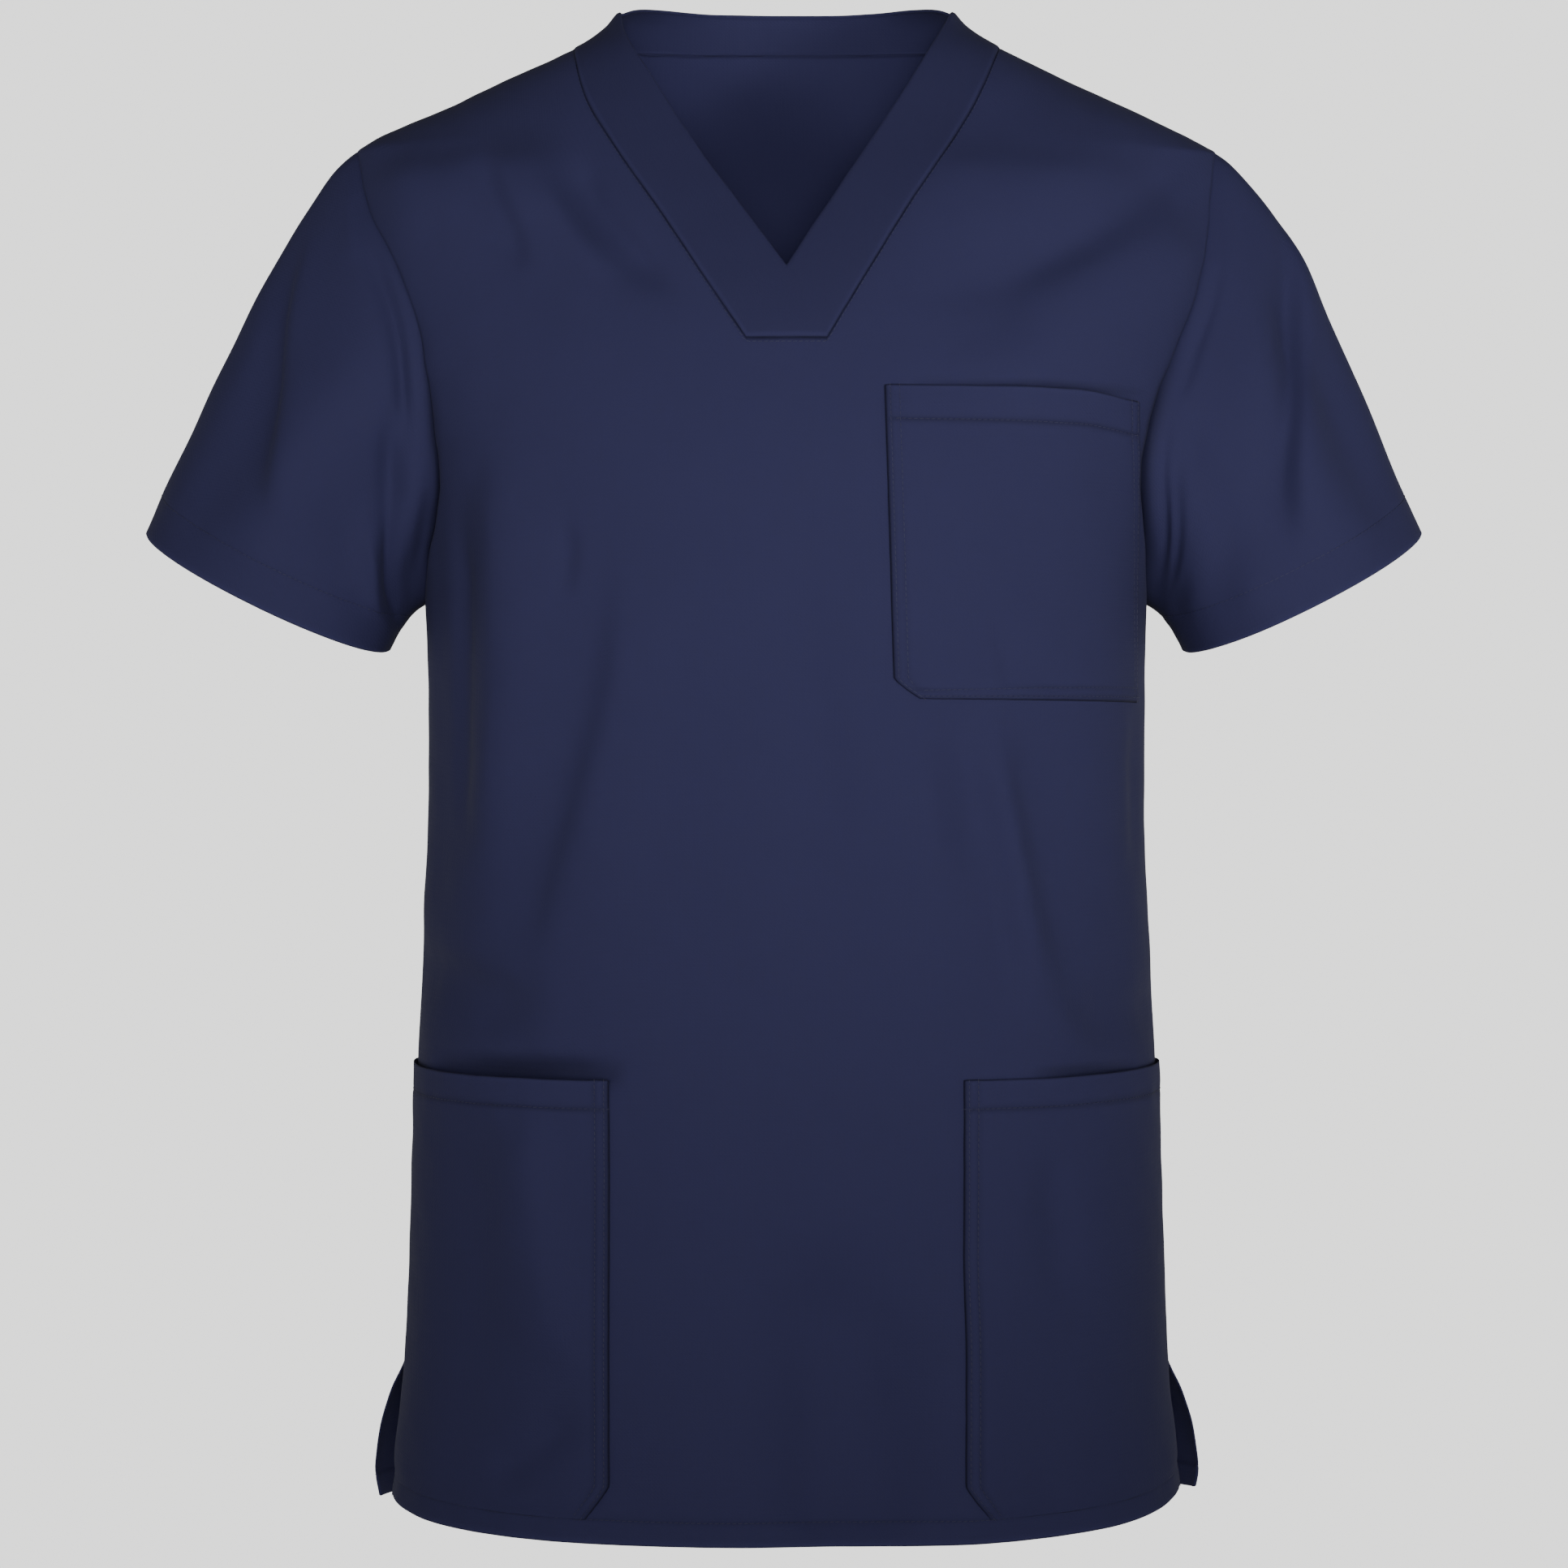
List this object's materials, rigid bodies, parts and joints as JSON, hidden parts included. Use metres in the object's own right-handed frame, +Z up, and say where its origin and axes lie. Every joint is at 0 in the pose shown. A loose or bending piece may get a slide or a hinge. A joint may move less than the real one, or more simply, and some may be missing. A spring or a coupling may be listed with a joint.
{
  "type": "medical scrub top",
  "caption": "Short-sleeved V-necked scrub top in navy poplin, filled out as worn, with a neckband, chest and hip patch pockets and side vents.",
  "frame": {"origin": "between the shoulders, over the middle of the section, level with the highest point of the shoulder line, where the wearer carries the top", "axes": "+Z up, the front faces -Y, +X to the wearer's left"},
  "size_m": [0.6428, 0.2559, 0.7609],
  "materials": {
    "navy_poplin": "matt plain weave of polyester and cotton, dyed navy"
  },
  "bodies": {
    "root": {"front_panel": "navy_poplin", "back_panel": "navy_poplin", "sleeve_left": "navy_poplin", "sleeve_right": "navy_poplin", "front_neckband": "navy_poplin", "back_neckband": "navy_poplin", "chest_pocket": "navy_poplin", "hip_pocket_left": "navy_poplin", "hip_pocket_right": "navy_poplin"}
  },
  "joints": []
}
